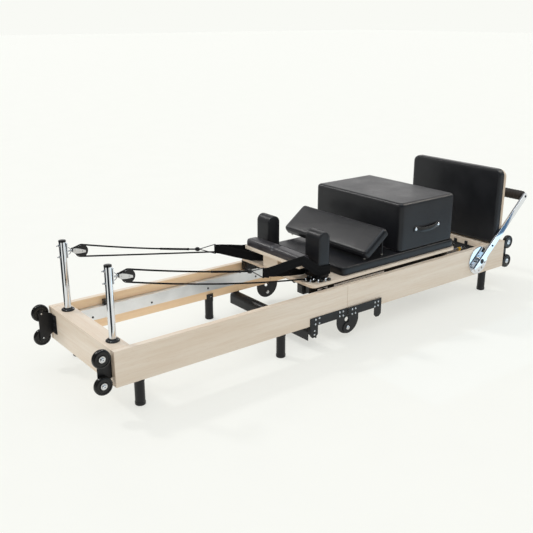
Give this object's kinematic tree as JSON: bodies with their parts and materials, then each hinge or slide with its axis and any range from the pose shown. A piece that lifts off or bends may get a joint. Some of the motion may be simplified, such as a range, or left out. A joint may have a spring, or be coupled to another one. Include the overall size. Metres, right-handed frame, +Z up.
{
  "type": "pilates reformer",
  "caption": "Folding wooden pilates reformer with a sprung sliding carriage, rope pulleys on riser posts, shoulder rests, foot bar, padded jump board, sitting box and incline pad.",
  "frame": {"origin": "on the floor, under the middle of the bounding box", "axes": "+X along the bed towards the foot bar, +Y across it towards the far rail, +Z up"},
  "size_m": [2.8378, 0.7556, 0.726],
  "materials": {
    "maple": "clear satin lacquer",
    "leather": "semi-matt, fine grain",
    "black_steel": "fine powder coat",
    "chrome": "polished",
    "aluminium": "satin anodised",
    "black_plastic": "moulded",
    "webbing": "woven",
    "foam": "closed-cell foam",
    "spring_steel": "bright drawn wire"
  },
  "bodies": {
    "riser_end_lower_wheels": {"near_lower_wheel_riser_end": "black_plastic", "far_lower_wheel_riser_end": "black_plastic"},
    "riser_half": {"near_rail_riser_half": "maple", "near_track_riser_half": "aluminium", "near_hinge_plate_riser_half": "black_steel", "near_leg_riser_end": "black_steel", "near_leg_middle": "black_steel", "near_wheel_bracket_riser_end": "black_steel", "near_riser_post": "chrome", "near_pulley_block": "black_plastic", "near_rope": "webbing", "far_rail_riser_half": "maple", "far_track_riser_half": "aluminium", "far_hinge_plate_riser_half": "black_steel", "far_leg_riser_end": "black_steel", "far_leg_middle": "black_steel", "far_wheel_bracket_riser_end": "black_steel", "far_riser_post": "chrome", "far_pulley_block": "black_plastic", "far_rope": "webbing", "riser_end_beam": "maple", "lift_bar": "black_steel"},
    "foot_half": {"near_rail_foot_half": "maple", "near_track_foot_half": "aluminium", "near_hinge_plate_foot_half": "black_steel", "near_leg_foot_end": "black_steel", "near_wheel_bracket_foot_end": "black_steel", "near_quadrant": "chrome", "far_rail_foot_half": "maple", "far_track_foot_half": "aluminium", "far_hinge_plate_foot_half": "black_steel", "far_leg_foot_end": "black_steel", "far_wheel_bracket_foot_end": "black_steel", "far_quadrant": "chrome", "foot_end_beam": "maple", "spring_bar": "maple"},
    "carriage": {"carriage_deck": "maple", "carriage_pad": "leather", "undercarriage": "black_steel", "springs": "spring_steel"},
    "front_wheel_set": {"front_wheel_set": "black_plastic"},
    "rear_wheel_set": {"rear_wheel_set": "black_plastic"},
    "headrest": {"headrest_board": "maple", "headrest_pad": "leather"},
    "sitting_box": {"sitting_box": "leather"},
    "incline_pad": {"incline_pad": "leather"},
    "foot_bar": {"foot_bar_frame": "chrome", "foot_bar_sleeve": "foam"},
    "jump_board": {"jump_board_panel": "maple", "jump_board_pad": "leather"},
    "near_shoulder_rest": {"near_shoulder_rest": "leather"},
    "near_sheave": {"near_sheave": "aluminium"},
    "near_upper_wheel_riser_end": {"near_upper_wheel_riser_end": "black_plastic"},
    "near_lower_wheel_foot_end": {"near_lower_wheel_foot_end": "black_plastic"},
    "near_upper_wheel_foot_end": {"near_upper_wheel_foot_end": "black_plastic"},
    "far_shoulder_rest": {"far_shoulder_rest": "leather"},
    "far_sheave": {"far_sheave": "aluminium"},
    "far_upper_wheel_riser_end": {"far_upper_wheel_riser_end": "black_plastic"},
    "far_lower_wheel_foot_end": {"far_lower_wheel_foot_end": "black_plastic"},
    "far_upper_wheel_foot_end": {"far_upper_wheel_foot_end": "black_plastic"}
  },
  "joints": [
    {"name": "stand_up", "type": "hinge", "parent": "riser_end_lower_wheels", "child": "riser_half", "pos_m": [-1.37848, -0.01225, 0.139], "axis": [0, -1, 0], "range_deg": [0, 90]},
    {"name": "fold", "type": "hinge", "parent": "riser_half", "child": "foot_half", "pos_m": [-0.02848, -0.01225, 0.053], "axis": [0, 1, 0], "range_deg": [0, 180]},
    {"name": "carriage_slide", "type": "slide", "parent": "riser_half", "child": "carriage", "axis": [1, 0, 0], "range_m": [-0.8, 0], "stiffness_N_per_m": 400, "springref_m": 0.05, "deforming": ["near_rope", "far_rope", "springs"]},
    {"name": "front_wheels_roll", "type": "hinge", "parent": "carriage", "child": "front_wheel_set", "pos_m": [-0.14848, -0.01225, 0.2573], "axis": [0, 1, 0], "continuous": true},
    {"name": "rear_wheels_roll", "type": "hinge", "parent": "carriage", "child": "rear_wheel_set", "pos_m": [0.75152, -0.01225, 0.2573], "axis": [0, 1, 0], "continuous": true},
    {"name": "headrest_tilt", "type": "hinge", "parent": "carriage", "child": "headrest", "pos_m": [-0.17348, -0.01225, 0.385], "axis": [0, 1, 0], "range_deg": [0, 25]},
    {"name": "sitting_box_lift", "type": "slide", "parent": "carriage", "child": "sitting_box", "axis": [0, 0, 1], "range_m": [0, 0.3]},
    {"name": "incline_pad_lift", "type": "slide", "parent": "carriage", "child": "incline_pad", "axis": [0, 0, 1], "range_m": [0, 0.2]},
    {"name": "foot_bar_swing", "type": "hinge", "parent": "foot_half", "child": "foot_bar", "pos_m": [1.02152, -0.01225, 0.205], "axis": [0, 1, 0], "range_deg": [-18, 43]},
    {"name": "jump_board_lift", "type": "slide", "parent": "foot_half", "child": "jump_board", "axis": [0, 0, 1], "range_m": [0, 0.15]},
    {"name": "near_shoulder_rest_lift", "type": "slide", "parent": "carriage", "child": "near_shoulder_rest", "axis": [0, 0, 1], "range_m": [0, 0.15]},
    {"name": "near_sheave_spin", "type": "hinge", "parent": "riser_half", "child": "near_sheave", "pos_m": [-1.19048, -0.23525, 0.549], "axis": [0, 1, 0], "continuous": true},
    {"name": "near_upper_wheel_riser_end_spin", "type": "hinge", "parent": "riser_half", "child": "near_upper_wheel_riser_end", "pos_m": [-1.37848, -0.32675, 0.259], "axis": [0, 1, 0], "continuous": true},
    {"name": "near_lower_wheel_foot_end_spin", "type": "hinge", "parent": "foot_half", "child": "near_lower_wheel_foot_end", "pos_m": [1.32152, -0.32675, 0.139], "axis": [0, 1, 0], "continuous": true},
    {"name": "near_upper_wheel_foot_end_spin", "type": "hinge", "parent": "foot_half", "child": "near_upper_wheel_foot_end", "pos_m": [1.32152, -0.32675, 0.259], "axis": [0, 1, 0], "continuous": true},
    {"name": "far_shoulder_rest_lift", "type": "slide", "parent": "carriage", "child": "far_shoulder_rest", "axis": [0, 0, 1], "range_m": [0, 0.15]},
    {"name": "far_sheave_spin", "type": "hinge", "parent": "riser_half", "child": "far_sheave", "pos_m": [-1.19048, 0.21075, 0.549], "axis": [0, 1, 0], "continuous": true},
    {"name": "far_upper_wheel_riser_end_spin", "type": "hinge", "parent": "riser_half", "child": "far_upper_wheel_riser_end", "pos_m": [-1.37848, 0.30225, 0.259], "axis": [0, 1, 0], "continuous": true},
    {"name": "far_lower_wheel_foot_end_spin", "type": "hinge", "parent": "foot_half", "child": "far_lower_wheel_foot_end", "pos_m": [1.32152, 0.30225, 0.139], "axis": [0, 1, 0], "continuous": true},
    {"name": "far_upper_wheel_foot_end_spin", "type": "hinge", "parent": "foot_half", "child": "far_upper_wheel_foot_end", "pos_m": [1.32152, 0.30225, 0.259], "axis": [0, 1, 0], "continuous": true}
  ],
  "couplings": [
    {"joint": "fold", "follows": "stand_up", "ratio": 2},
    {"joint": "front_wheels_roll", "follows": "carriage_slide", "rad_per_m": 47.619},
    {"joint": "rear_wheels_roll", "follows": "carriage_slide", "rad_per_m": 47.619}
  ]
}
